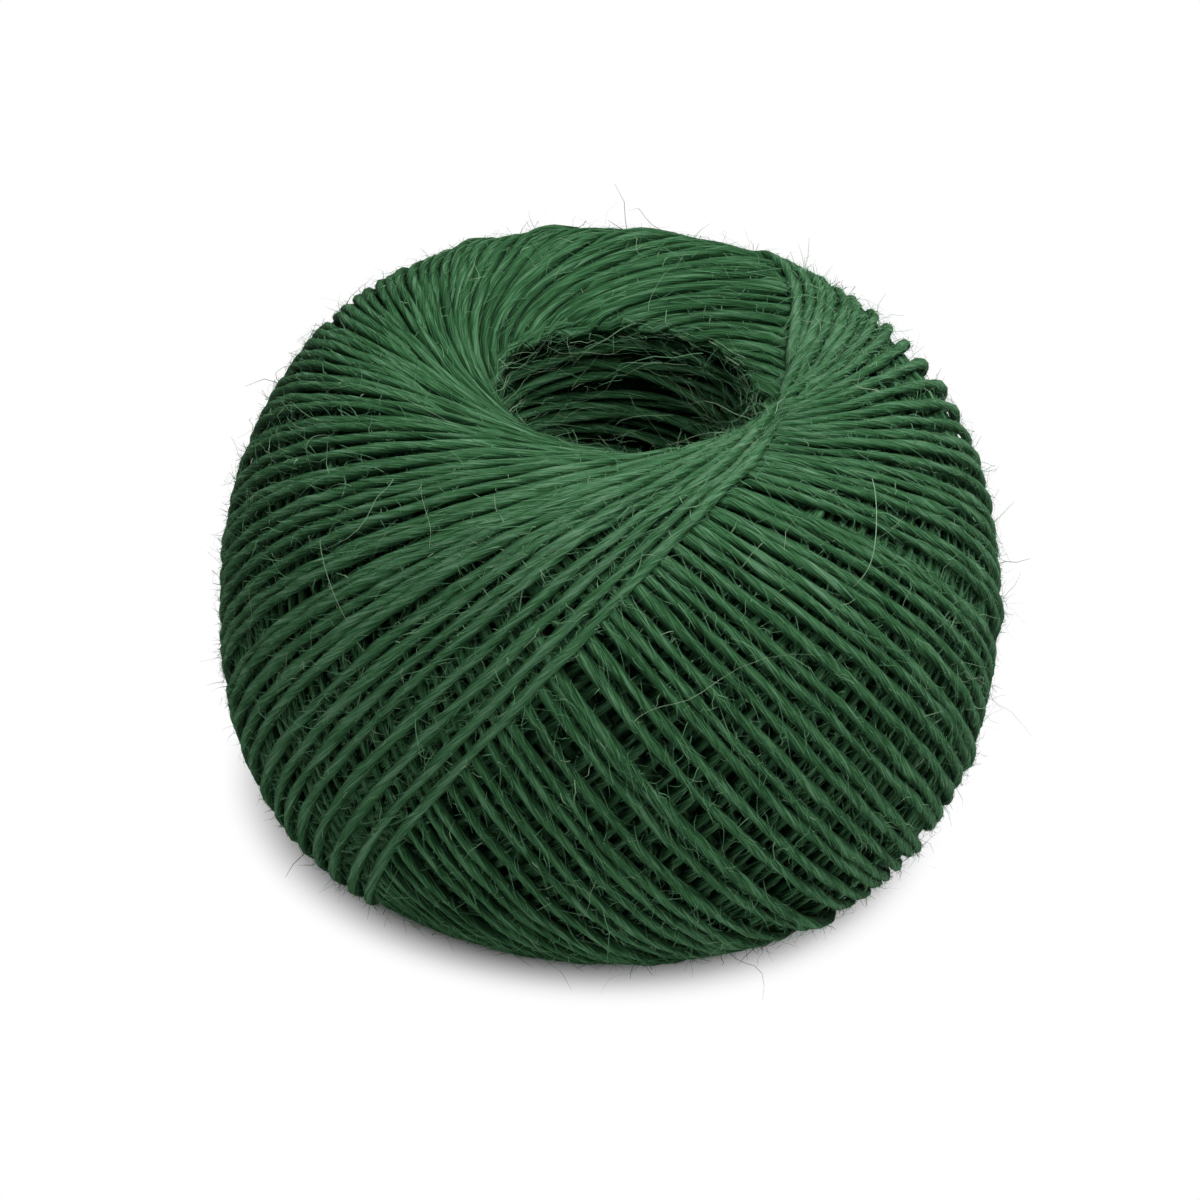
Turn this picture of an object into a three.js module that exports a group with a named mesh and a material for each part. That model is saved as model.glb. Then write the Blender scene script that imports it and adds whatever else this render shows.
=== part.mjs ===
// A machine-wound ball of twine, resting on its flat spot at z = 0 with its spindle hole upright.
// Millimetres, +Z up. The ball is one continuous length of twine, so it is one closed solid:
// the wound form, with its hole, its crossing bands of loops and the raised last-wound loops.
import * as THREE from "three";

// The wound form, measured from the ball's mid-height, where it is widest.
const BALL_RADIUS = 45;
const CROWN_RADIUS = 27; // the highest and the lowest line of the ball are rings of this radius
const TOP_HEIGHT = 31.5;
const BASE_DEPTH = 27.6; // the flat spot's depth
const ROUND_DEPTH = 28.2; // how deep the ball would reach if it were not pressed flat
const TOP_FULLNESS = 1.91; // superellipse exponents of the side: 2 is a plain ellipse, more is squarer
const BASE_FULLNESS = 2.7;

// The spindle hole, open from top to bottom, and the rounded lips that lead into it.
const HOLE_RADIUS = 15;
const HOLE_WAIST = 0.6; // how much narrower the hole is at mid-height
const TOP_THROAT = 25.2; // height at which the top lip meets the hole
const BASE_THROAT = 22.4; // depth at which the bottom lip meets the hole

// The winding. Each loop lies nearly in a plane that leans from the spindle by LOOP_LEAN,
// and each next loop starts a little further round.
const LOOP_LEAN = 36; // degrees
const LAST_LOOP_AZIMUTH = -20; // where the last loop touches the hole, degrees from +X
const LOOP_SOFTENING = 5; // how sharply a loop turns along the lip
const BANDS = 20; // visible bands of neighbouring loops in one turn round the ball
const BAND_RAISE = 1; // height of a band over the groove beside it
const BUNDLE_WIDTH = 12; // the last loops lie together over this much of the turn, degrees
const BUNDLE_SHOULDER = 5; // over which the bundle rises from the loops that it crosses, degrees
const BUNDLE_RAISE = 1.5;
const WALL_TURNS = 5; // rounded rings of twine down the wall of the hole
const WALL_RAISE = 0.35;

// Mesh steps: columns round the ball, and rows along each stretch of its profile.
const COLUMNS = 120;
const WALL_ROWS = 7;
const TOP_LIP_ROWS = 6;
const TOP_SIDE_ROWS = 10;
const BASE_SIDE_ROWS = 9;
const FLAT_ROWS = 2;
const BASE_LIP_ROWS = 5;

const TWINE = { color: 0x2f6b45, roughness: 0.95, metalness: 0 };

const QUARTER = Math.PI / 2;
const FULL_TURN = 2 * Math.PI;
const radians = THREE.MathUtils.degToRad;
const { smoothstep } = THREE.MathUtils;

// The side between the crown ring and the widest line: a superellipse quarter.
function sidePoint(angle, height, fullness) {
  const power = 2 / fullness;
  return {
    r: CROWN_RADIUS + (BALL_RADIUS - CROWN_RADIUS) * Math.cos(angle) ** power,
    z: height * Math.sin(angle) ** power,
  };
}

// A lip between the hole and the crown ring: an ellipse quarter.
function lipPoint(angle, throat, crown) {
  return {
    r: CROWN_RADIUS - (CROWN_RADIUS - HOLE_RADIUS) * Math.cos(angle),
    z: throat + (crown - throat) * Math.sin(angle),
  };
}

// One closed profile: up the hole, over the top lip, down the side, across the flat spot and
// back round the bottom lip. Each row says how much of the band and wall relief it carries.
function wallRows() {
  return Array.from({ length: WALL_ROWS }, (_, row) => {
    const along = row / WALL_ROWS;
    const waist = HOLE_WAIST * Math.sin(Math.PI * along);
    const ring = WALL_RAISE * (1 - Math.cos(FULL_TURN * WALL_TURNS * along));
    const z = THREE.MathUtils.lerp(-BASE_THROAT, TOP_THROAT, along);
    return { r: HOLE_RADIUS - waist - ring, z, relief: 0 };
  });
}

function topLipRows() {
  return Array.from({ length: TOP_LIP_ROWS }, (_, row) => {
    const along = row / TOP_LIP_ROWS;
    return { ...lipPoint(QUARTER * along, TOP_THROAT, TOP_HEIGHT), relief: smoothstep(along, 0, 0.5) };
  });
}

function topSideRows() {
  return Array.from({ length: TOP_SIDE_ROWS }, (_, row) => {
    const angle = QUARTER * (1 - row / TOP_SIDE_ROWS);
    return { ...sidePoint(angle, TOP_HEIGHT, TOP_FULLNESS), relief: 1 };
  });
}

// The lower side stops where the rounded form would pass below the flat spot.
function baseSideRows() {
  const flatEdge = Math.asin((BASE_DEPTH / ROUND_DEPTH) ** (BASE_FULLNESS / 2));
  return Array.from({ length: BASE_SIDE_ROWS }, (_, row) => {
    const along = row / BASE_SIDE_ROWS;
    const { r, z } = sidePoint(flatEdge * along, ROUND_DEPTH, BASE_FULLNESS);
    return { r, z: -z, relief: 1 - smoothstep(along, 0.75, 1) };
  });
}

// The flat spot is a ring: it ends where the bottom lip would rise off the surface.
function flatEdges() {
  const outerAngle = Math.asin((BASE_DEPTH / ROUND_DEPTH) ** (BASE_FULLNESS / 2));
  const innerAngle = Math.asin((BASE_DEPTH - BASE_THROAT) / (ROUND_DEPTH - BASE_THROAT));
  return {
    outer: sidePoint(outerAngle, ROUND_DEPTH, BASE_FULLNESS).r,
    inner: lipPoint(innerAngle, BASE_THROAT, ROUND_DEPTH).r,
    innerAngle,
  };
}

function flatRows() {
  const { outer, inner } = flatEdges();
  return Array.from({ length: FLAT_ROWS }, (_, row) => {
    return { r: THREE.MathUtils.lerp(outer, inner, row / FLAT_ROWS), z: -BASE_DEPTH, relief: 0 };
  });
}

function baseLipRows() {
  const { innerAngle } = flatEdges();
  return Array.from({ length: BASE_LIP_ROWS }, (_, row) => {
    const { r, z } = lipPoint(innerAngle * (1 - row / BASE_LIP_ROWS), BASE_THROAT, ROUND_DEPTH);
    return { r, z: -z, relief: 0 };
  });
}

// How far round the ball a loop has turned from where it touches the hole, at a profile point.
// A loop in a leaning plane has cos(turn) = tan(lean) z / r; softened, it closes at the throat.
function loopTurn(r, z) {
  const soften = (reach) => reach / (1 + Math.abs(reach) ** LOOP_SOFTENING) ** (1 / LOOP_SOFTENING);
  const lean = Math.tan(radians(LOOP_LEAN));
  const reachAtThroat = soften((lean * TOP_THROAT) / HOLE_RADIUS);
  return Math.acos(THREE.MathUtils.clamp(soften((lean * z) / r) / reachAtThroat, -1, 1));
}

// A place is crossed by one falling and by one rising loop. Each angle says how much winding ago
// that loop was laid, and the loop laid later lies on top.
function crossingLoops(azimuth, turn) {
  const behind = radians(LAST_LOOP_AZIMUTH) - azimuth;
  const falling = THREE.MathUtils.euclideanModulo(behind - turn, FULL_TURN);
  const rising = THREE.MathUtils.euclideanModulo(behind + turn, FULL_TURN);
  return { falling, rising, fallingOnTop: falling < rising };
}

// The last loops lie on everything they cross. This is 1 on them and 0 past their soft sides.
function bundleShare(age) {
  const pastLastLoop = age > Math.PI ? age - FULL_TURN : age;
  const shoulder = radians(BUNDLE_SHOULDER);
  const width = radians(BUNDLE_WIDTH);
  const rise = smoothstep(pastLastLoop, -shoulder, 0);
  const fall = smoothstep(pastLastLoop, width, width + 2 * shoulder);
  return rise * (1 - fall);
}

// Height of the relief: the rounded bands on top, and the smooth bundle raised over them.
function reliefHeight({ falling, rising }) {
  const bundle = Math.max(bundleShare(falling), bundleShare(rising));
  const band = 0.5 * Math.cos(BANDS * Math.min(falling, rising)) - 0.5;
  return BAND_RAISE * band * (1 - bundle) + BUNDLE_RAISE * bundle;
}

function profileRows() {
  const stretches = [wallRows, topLipRows, topSideRows, baseSideRows, flatRows, baseLipRows];
  return stretches.flatMap((rows) => rows());
}

// Outward normal of the profile at each row, from its two neighbours.
function withNormals(rows) {
  return rows.map((row, index) => {
    const before = rows.at(index - 1);
    const after = rows[(index + 1) % rows.length];
    const length = Math.hypot(after.r - before.r, after.z - before.z);
    return { ...row, outR: (before.z - after.z) / length, outZ: (after.r - before.r) / length };
  });
}

// Where every vertex lies: each row is a ring of columns, moved out by the relief.
function skinPositions(rows) {
  return rows.flatMap((row) => {
    const turn = loopTurn(row.r, row.z);
    return Array.from({ length: COLUMNS }, (_, column) => {
      const azimuth = (FULL_TURN * column) / COLUMNS;
      const rise = row.relief * reliefHeight(crossingLoops(azimuth, turn));
      const r = row.r + rise * row.outR;
      const z = row.z + rise * row.outZ + BASE_DEPTH;
      return [r * Math.cos(azimuth), r * Math.sin(azimuth), Math.max(z, 0)];
    }).flat();
  });
}

// Each four-sided cell of the skin is split along the loops that lie on top there.
function skinTriangles(rows) {
  const corner = (row, column) => (row % rows.length) * COLUMNS + (column % COLUMNS);
  return rows.flatMap(({ r, z }, row) => {
    const turn = loopTurn(r, z);
    return Array.from({ length: COLUMNS }, (_, column) => {
      const here = corner(row, column);
      const below = corner(row + 1, column);
      const beside = corner(row, column + 1);
      const across = corner(row + 1, column + 1);
      const middle = (FULL_TURN * (column + 0.5)) / COLUMNS;
      const { fallingOnTop } = crossingLoops(middle, turn);
      return fallingOnTop
        ? [here, below, beside, beside, below, across]
        : [here, below, across, here, across, beside];
    }).flat();
  });
}

// The skin closes on itself: the last row joins the first one in the hole.
function woundForm() {
  const rows = withNormals(profileRows());
  const geometry = new THREE.BufferGeometry();
  geometry.setAttribute("position", new THREE.Float32BufferAttribute(skinPositions(rows), 3));
  geometry.setIndex(skinTriangles(rows));
  geometry.computeVertexNormals();
  return geometry;
}

const twineBall = new THREE.Mesh(woundForm(), new THREE.MeshStandardMaterial(TWINE));
twineBall.name = "twine_ball";

const ball = new THREE.Group();
ball.add(twineBall);

export default ball;
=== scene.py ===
# %% [markdown]
# # A ball of garden twine
#
# The ball is one long length of dyed bast-fibre twine. A machine lays it in loops round a spindle,
# and turns the ball a little after each loop, so the loops cross in a net with a round hole where
# the spindle was. The whole look comes from that net and from the loose fibres on it, so this
# lesson winds the ball the way the machine does, instead of carving a pattern into a smooth ball.

# %% Load the frame
import bpy
import math
import numpy as np
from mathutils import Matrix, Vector


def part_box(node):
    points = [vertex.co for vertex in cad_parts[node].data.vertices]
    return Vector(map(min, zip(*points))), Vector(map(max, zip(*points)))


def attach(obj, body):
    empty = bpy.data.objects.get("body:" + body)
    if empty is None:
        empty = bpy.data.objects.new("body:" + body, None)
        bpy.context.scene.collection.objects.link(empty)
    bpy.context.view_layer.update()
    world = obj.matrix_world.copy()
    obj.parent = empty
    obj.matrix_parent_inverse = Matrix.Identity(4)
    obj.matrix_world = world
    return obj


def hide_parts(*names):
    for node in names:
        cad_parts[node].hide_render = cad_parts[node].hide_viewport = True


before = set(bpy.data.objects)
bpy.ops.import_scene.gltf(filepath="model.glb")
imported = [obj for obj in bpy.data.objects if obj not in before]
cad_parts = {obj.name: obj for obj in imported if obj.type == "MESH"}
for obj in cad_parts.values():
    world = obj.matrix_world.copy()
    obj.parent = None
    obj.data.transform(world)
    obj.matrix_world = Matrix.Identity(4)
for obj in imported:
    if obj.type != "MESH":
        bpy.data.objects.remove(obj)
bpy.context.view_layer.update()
MM = 0.001
rng = np.random.default_rng(11)

ball_low, ball_high = (np.array(corner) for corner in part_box("twine_ball"))
print("CAD ball, mm:", np.round((ball_high - ball_low) / MM, 1))

# %% [markdown]
# ## The form that the winding builds up
#
# A wound ball is round from above, so its form is one outline turned about the spindle. From the
# hole the outline goes over a rounded lip to the crown, down the full side, under to the flat spot
# that the ball rests on, and back up into the hole. A superellipse makes each side, because its one
# exponent says how full the shoulder is.

# %% The outline of the ball
BALL_RADIUS = (ball_high[0] - ball_low[0]) / 2
CROWN_RADIUS = 27 * MM  # where the outline is highest
HOLE_RADIUS = 15 * MM
BASE_DEPTH = 27.6 * MM  # from the ball's middle down to the flat spot
MIDDLE_HEIGHT = ball_low[2] + BASE_DEPTH

# From the ball's middle to the crown and to the hole's edge, and the exponent of the side.
TOP_HEIGHT, TOP_THROAT, TOP_FULLNESS = 31.5 * MM, 25.2 * MM, 1.91
ROUND_DEPTH, BASE_THROAT, BASE_FULLNESS = 28.2 * MM, 22.4 * MM, 2.7


def lip_line(angle, throat, crown):
    radius = CROWN_RADIUS - (CROWN_RADIUS - HOLE_RADIUS) * np.cos(angle)
    return radius, throat + (crown - throat) * np.sin(angle)


def side_line(angle, crown, fullness):
    wide = np.cos(angle).clip(0) ** (2 / fullness)
    radius = CROWN_RADIUS + (BALL_RADIUS - CROWN_RADIUS) * wide
    return radius, crown * np.sin(angle).clip(0) ** (2 / fullness)


quarter = np.linspace(0, math.pi / 2, 400)
stretches = [
    lip_line(quarter, TOP_THROAT, TOP_HEIGHT),
    side_line(quarter[::-1], TOP_HEIGHT, TOP_FULLNESS),
    side_line(quarter, -ROUND_DEPTH, BASE_FULLNESS),
    lip_line(quarter[::-1], -BASE_THROAT, -ROUND_DEPTH),
]
rough_r, rough_z = (np.concatenate([stretch[axis] for stretch in stretches]) for axis in (0, 1))


def added_up(steps):
    return np.concatenate([[0], np.cumsum(steps)])


rough_way = added_up(np.hypot(np.diff(rough_r), np.diff(rough_z)))
OUTLINE_LENGTH = rough_way[-1]
print("outline from hole to hole, mm:", round(OUTLINE_LENGTH / MM, 1))

# %% [markdown]
# ## Places on the ball
#
# Any spot on the ball has a place, which is how far along the outline it lies from the top of the
# hole, an azimuth, which is the angle round the spindle, and a rise, which is how far it stands out
# from the outline. The winding is simple in these, and one helper turns them into points.

# %% Even steps along the outline
STEP = 0.1 * MM
SLOPE_SPREAD = 8  # samples
way = np.arange(0, OUTLINE_LENGTH, STEP)
outline_r = np.interp(way, rough_way, rough_r)
outline_z = np.interp(way, rough_way, rough_z)


def smoothed(values, spread):
    """A running average with soft ends; spread is in samples."""
    reach = int(3 * spread) + 1
    weights = np.exp(-0.5 * (np.arange(-reach, reach + 1) / spread) ** 2)
    return np.convolve(np.pad(values, reach, mode="edge"), weights / weights.sum(), mode="valid")


def unit(vectors):
    return vectors / np.maximum(np.linalg.norm(vectors, axis=-1, keepdims=True), 1e-12)


slope_r = smoothed(np.gradient(outline_r, STEP), SLOPE_SPREAD)
slope_z = smoothed(np.gradient(outline_z, STEP), SLOPE_SPREAD)
slope = np.hypot(slope_r, slope_z)
out_r, out_z = -slope_z / slope, slope_r / slope  # the outward direction at each point


def round_spindle(radius, azimuth, height):
    return np.stack([radius * np.cos(azimuth), radius * np.sin(azimuth), height + 0 * azimuth], -1)


def on_ball(place, azimuth, rise):
    """The point that far out from the outline, with the flat spot at z = 0."""
    index = np.clip(place / STEP, 0, len(way) - 1)
    grid = np.arange(len(way))
    radius = np.interp(index, grid, outline_r) + rise * np.interp(index, grid, out_r)
    height = np.interp(index, grid, outline_z) + rise * np.interp(index, grid, out_z)
    return round_spindle(radius, azimuth, height + MIDDLE_HEIGHT)


def outward_at(place, azimuth):
    index = np.clip((place / STEP).astype(int), 0, len(way) - 1)
    return round_spindle(out_r[index], azimuth, out_z[index])


# %% [markdown]
# ## How one loop runs
#
# Most loops lie nearly in a plane that leans from the spindle, like a hoop dropped askew round a
# post. The distance of the plane from the post gives the turn, which is how far round the ball the
# loop has gone since it touched the hole. Nothing presses on the last loops, so they run as a taut
# thread does on a round body: the distance from the middle times the sine of the angle from uphill,
# called the hold here, stays steady. They cross the other loops as a raised bundle.

# %% The turn of a loop along the outline
LIP_RUN, LIP_MARGIN = 3 * MM, 0.8 * MM  # over which a loop closes on the hole, and its nearest
TOP_BLEND, BASE_BLEND = 9 * MM, 5 * MM  # over which the hold changes at the hole and below
BASE_SHARE = 0.62  # of the outline, after which the hold under the ball counts
half_turns = np.linspace(0, math.pi, 1500)


def soft_step(value):
    return 1 / (1 + np.exp(-value))


def leaning_loop(lean, crossing_height, roundness):
    """Where on the outline a loop is for each angle turned since its top, up to half a turn."""
    drop = outline_z - crossing_height
    share = math.tan(lean) * np.abs(drop) / outline_r
    share = share / (1 + share ** roundness) ** (1 / roundness)
    share += (1 - share[0]) * np.exp(-way / LIP_RUN)
    share += (1 - share[-1]) * np.exp(-(OUTLINE_LENGTH - way) / LIP_RUN)
    turn = np.arccos(np.clip(np.sign(drop) * share, -1, 1))
    turn = np.maximum.accumulate(turn + np.linspace(0, 1e-6, len(turn)))
    return np.clip(np.interp(half_turns, turn, way), LIP_MARGIN, OUTLINE_LENGTH - LIP_MARGIN)


def taut_loop(top_touch, base_touch, side_hold, samples=6000):
    """The same for a taut loop; its hold under the ball is searched for until it closes."""
    swing = (np.arange(samples) + 0.5) * math.pi / samples
    span = OUTLINE_LENGTH - base_touch - top_touch
    place = top_touch + span * (1 - np.cos(swing)) / 2
    radius = np.interp(place, way, outline_r)
    near_top = np.exp(-((place - top_touch) / TOP_BLEND) ** 4)
    lower = soft_step((place - BASE_SHARE * OUTLINE_LENGTH) / BASE_BLEND)
    step = span / 2 * np.sin(swing) * math.pi / samples
    weakest, strongest = 0, side_hold
    for _ in range(30):
        base_hold = (weakest + strongest) / 2
        hold = side_hold + (base_hold - side_hold) * lower
        hold -= (hold - radius[0]) * near_top
        lean = np.clip(hold / radius, 0, 0.9999)
        turn = np.cumsum(lean / np.sqrt(1 - lean ** 2) / radius * step)
        if turn[-1] > math.pi:
            strongest = base_hold
        else:
            weakest = base_hold
    print("hold under the ball, mm:", round(base_hold / MM, 1))
    return np.interp(half_turns, turn, place)


plain_place = leaning_loop(lean=math.radians(41), crossing_height=2.8 * MM, roundness=5.5)
last_place = taut_loop(top_touch=5.4 * MM, base_touch=2 * MM, side_hold=24 * MM)

# One loop turns from minus half a turn at the bottom, through 0 at the hole's top, to plus half.
loop_turned = np.linspace(-math.pi, math.pi, 4001)
trial = on_ball(np.interp(np.abs(loop_turned), half_turns, plain_place), -loop_turned, 0)
trial_way = added_up(np.linalg.norm(np.diff(trial, axis=0), axis=1))
LOOP_LENGTH = trial_way[-1]
loop_share = trial_way / LOOP_LENGTH
print("one loop, mm:", round(LOOP_LENGTH / MM))

# %% [markdown]
# ## The plan of the winding
#
# Only the last two or three rounds of the machine's loops can be seen through the net. Each loop
# starts one pitch further round than the one before. Smooth random functions of the loop count let
# the twine slip, and close on the hole, a little unevenly. Later loops pull the older ones along at
# the hole, so they leave its rim in a swirl.

# %% Where each loop goes
LOOPS_PER_ROUND = 94
ROUNDS = 2.4
LOOPS = int(LOOPS_PER_ROUND * ROUNDS)
TWINE_RADIUS = 0.64 * MM
PITCH = 2 * math.pi / LOOPS_PER_ROUND
LAST_TOUCH = math.radians(-7.5)  # where the last loop passes the hole, from +X
PLAIN_LAG = math.radians(7.3)  # how much sooner the plain loops touch than the last ones would
BUNDLE_LOOPS, BUNDLE_BLEND = 9.5, 2.2  # how many loops run taut, and how softly that begins
STEADY_SLIP, STEADY_LIP = 0.5, 0.7  # the share of the unevenness that a taut loop doesn't have
DRAG, DRAG_REACH = math.radians(42), 7.5 * MM  # how far older loops are pulled along at the hole
DRAG_LOOPS, FREE_LOOPS = 16, 6  # it builds up over that many loops, and spares the newest
LIP_LOOSE, LIP_FADE = 0.7 * MM, 5 * MM  # how unevenly the loops close on the hole


def wandering(spacing, seed):
    """A smooth random function of the loop count, about -1 to 1, with knots that far apart."""
    knots = np.random.default_rng(seed).normal(size=int(LOOPS / spacing) + 8) * 0.7

    def value(loop):
        place = np.clip(loop, 0, LOOPS) / spacing + 2
        left = np.floor(place).astype(int)
        blend = place - left
        blend = blend * blend * (3 - 2 * blend)
        return knots[left] * (1 - blend) + knots[left + 1] * blend

    return value


# Slips as shares of the pitch: from loop to loop, along a loop, and a fine tremble.
slips = [(0.38, wandering(0.55, 1)), (0.15, wandering(0.21, 2)), (0.05, wandering(0.026, 8))]
looseness = wandering(2.3, 4)


def loop_course(loop):
    """For loop counts with fractions: place along the outline and azimuth of the twine's middle."""
    turned = np.interp(loop % 1, loop_share, loop_turned)
    age = LOOPS - loop
    bundle = soft_step((BUNDLE_LOOPS - age) / BUNDLE_BLEND)
    plain, last = (np.interp(np.abs(turned), half_turns, run) for run in (plain_place, last_place))
    place = plain * (1 - bundle) + last * bundle
    loose = LIP_LOOSE * (1 + np.clip(looseness(loop), -1, 1)) * (1 - STEADY_LIP * bundle)
    place += loose * (np.exp(-place / LIP_FADE) - np.exp(-(OUTLINE_LENGTH - place) / LIP_FADE))
    slip = sum(share * value(loop) for share, value in slips)
    late = age - 0.5 + slip * (1 - STEADY_SLIP * bundle)
    touch = LAST_TOUCH - PLAIN_LAG * (1 - bundle) - PITCH * late
    dragged = np.maximum(age - FREE_LOOPS, 0) / DRAG_LOOPS
    drag = DRAG * (1 - np.exp(-dragged)) * np.exp(-(place / DRAG_REACH) ** 2)
    return place, touch + drag - turned


print("loops:", LOOPS, " degrees from one to the next:", round(math.degrees(PITCH), 2))

# %% [markdown]
# ## A height map of the ball
#
# A height map of the ball, unrolled, keeps track of how high the twine has built up. Physics could
# let each loop fall into place, but a map does it in seconds: each new loop rests on the highest
# twine under it, bridges the gaps, and raises the map. The crossings, gaps and touching pairs come
# out of that by themselves.

# %% Read and write the height map
AROUND_CELLS = 1440
UP_STEP = 0.2 * MM
UP_CELLS = int(OUTLINE_LENGTH / UP_STEP) + 1
SECTORS = 48  # round the ball, for tables of values that change slowly


def footprint(place, azimuth, across):
    """Cells of the height map under a strand, one column for each step across it."""
    index = np.clip((place / STEP).astype(int), 0, len(way) - 1)
    radius = outline_r[index]
    along_place, along_side = np.gradient(place), radius * np.gradient(azimuth)
    length = np.hypot(along_place, along_side) + 1e-12
    offset = across[None, :] * TWINE_RADIUS
    up = (place[:, None] - offset * (along_side / length)[:, None]) / UP_STEP
    side = azimuth[:, None] + offset * (along_place / length / radius)[:, None]
    column = np.round(side / (2 * math.pi) * AROUND_CELLS).astype(int) % AROUND_CELLS
    return np.clip(np.round(up).astype(int), 0, UP_CELLS - 1), column


def widest(values, reach):
    padded = np.pad(values, reach, mode="edge")
    return np.lib.stride_tricks.sliding_window_view(padded, 2 * reach + 1).max(axis=1)


def between(table, place, azimuth):
    """A value between the cells of a table with one row per step up and one column per sector."""
    row = np.clip(place / UP_STEP, 0, UP_CELLS - 1.001)
    column = azimuth / (2 * math.pi) * SECTORS - 0.5
    r, c = row.astype(int), np.floor(column).astype(int)
    dr, dc = row - r, column - c

    def along_row(r):
        return table[r, c % SECTORS] * (1 - dc) + table[r, (c + 1) % SECTORS] * dc

    return along_row(r) * (1 - dr) + along_row(r + 1) * dr


# %% [markdown]
# ## Let the loops settle
#
# Near the hole the loops crowd together. Real twine is squeezed flat there, so each layer counts
# for less height where the loops are dense. The ball is wound twice: once without squeezing, which
# shows where it would grow too thick, and once more with the squeeze that keeps it even.

# %% Lay every loop
SAMPLES = 900  # of each loop
UNDER = np.array([-0.6, -0.3, 0, 0.3, 0.6])  # steps across the strand, in its radius
ACROSS = np.linspace(-0.96, 0.96, 11)
BRIDGE = 8  # samples each way over which the taut twine spans a gap
CROWD_SPREAD, REST_SPREAD = 6, 16  # samples over which crowding and height are evened out
CROWDED = 2  # how strongly a crowd thins its strands
CROWD_LOOPS, PLUMP_LOOPS = 8, 8  # how long a crowd lasts, and how many loops are still plump
NET_THICKNESS = 5.4 * MM


def settle(squeeze):
    """Lay every loop on the height map; squeeze is how much of its height an old layer keeps."""
    height_map = np.zeros((UP_CELLS, AROUND_CELLS), np.float32)
    recent = np.zeros((UP_CELLS, AROUND_CELLS), np.float32)
    heights, layers = np.zeros((LOOPS, SAMPLES)), np.zeros((LOOPS, SAMPLES))
    for count in range(LOOPS):
        place, azimuth = loop_course(count + np.arange(SAMPLES) / SAMPLES)
        cells, under = footprint(place, azimuth, ACROSS), footprint(place, azimuth, UNDER)
        kept = between(squeeze, place, azimuth)
        crowded = 1 / (1 + CROWDED * smoothed(recent[under].mean(axis=1), CROWD_SPREAD))
        plump = math.exp(-(LOOPS - count) / PLUMP_LOOPS)
        layer = TWINE_RADIUS * (kept + (crowded - kept).clip(0) * plump)
        resting = smoothed(widest(height_map[under].max(axis=1), BRIDGE), REST_SPREAD) + layer
        top = resting[:, None] + layer[:, None] * np.sqrt(1 - ACROSS[None, :] ** 2)
        height_map[cells] = np.maximum(height_map[cells], top)
        recent *= math.exp(-1 / CROWD_LOOPS)
        recent[cells] = recent[cells] + 1
        heights[count], layers[count] = resting, layer
    return heights, layers, height_map


def full_height_of(height_map, high_share=85, most_over_usual=1.08):
    """The height of the high strands, smooth both up the ball and round it."""
    sectors = height_map.reshape(UP_CELLS, SECTORS, -1)
    high = np.percentile(sectors, high_share, axis=2)
    high = np.minimum(high, most_over_usual * np.median(high, axis=1, keepdims=True))
    high = np.apply_along_axis(smoothed, 0, high, 8)
    wrapped = np.concatenate([high, high, high], axis=1)
    return np.apply_along_axis(smoothed, 1, wrapped, 3)[:, SECTORS:2 * SECTORS]


loose_height = full_height_of(settle(np.ones((UP_CELLS, SECTORS)))[2])
loop_heights, loop_layers, height_map = settle((NET_THICKNESS / loose_height).clip(0, 1))
full_height = full_height_of(height_map)
print("wound thickness at lip, crown, mid-height, mm:",
      np.round(full_height[[10, 70, UP_CELLS // 2]].mean(axis=1) / MM, 1))

# %% [markdown]
# ## Which loops lie on top
#
# Where loops find no room side by side, some are pushed down between the others, and a loop that
# newer ones cover lies a little deeper still. That keeps every strand on top whole, instead of a
# mat of half-hidden ones. So two things are measured: whether newer loops cover a spot, and how
# close the neighbours are.

# %% Cover and crowding
EDGE, EDGE_BLEND = 0.2 * MM, 0.4 * MM  # how far beside the newest loop the cover ends, how softly
PASSING = 0.12  # radians over which a loop goes from under the cover to the top, at the hole
NEIGHBOURS = 2  # loops each way over which the spacing is measured
ROOM = 2.1 * TWINE_RADIUS  # the width that a strand needs
SUNK_SHARE = 0.86  # at most this share of the loops is pushed down


def wrapped_turn(angle):
    return (angle + math.pi) % (2 * math.pi) - math.pi


def covered(place, azimuth, turned):
    """1 where newer loops lie over this one, 0 where it is on top; the newest is the border."""
    beside = wrapped_turn(azimuth - LAST_TOUCH)
    within = np.interp(place, last_place, half_turns) - np.abs(beside)
    within = within * np.interp(place, way, outline_r) + EDGE * np.sign(beside)
    within = 0.5 + 0.5 * np.tanh(within / EDGE_BLEND)
    onward = 0.5 + 0.5 * np.tanh(turned / PASSING)
    return onward * within + (1 - onward) * (1 - within)


def crowding(loop, place):
    """The share of the loops there that find no room side by side."""
    radius = np.interp(place, way, outline_r)

    def apart(step):
        place_on, azimuth_on = loop_course(loop + step)
        place_back, azimuth_back = loop_course(loop - step)
        return np.stack([place_on - place_back, radius * wrapped_turn(azimuth_on - azimuth_back)])

    along, aside = unit(apart(1e-3).T).T, apart(NEIGHBOURS) / (2 * NEIGHBOURS)
    spacing = np.abs(along[0] * aside[1] - along[1] * aside[0])
    return np.clip(1 - spacing / ROOM, 0, SUNK_SHARE)


# %% [markdown]
# ## How deep each strand lies
#
# The height at which a loop settled, less the full height of the winding there, is its rise. Soft
# limits keep the ball round. Golden steps decide which of the crowded loops sink: adding the golden
# share again and again spreads any number of loops evenly.

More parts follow.
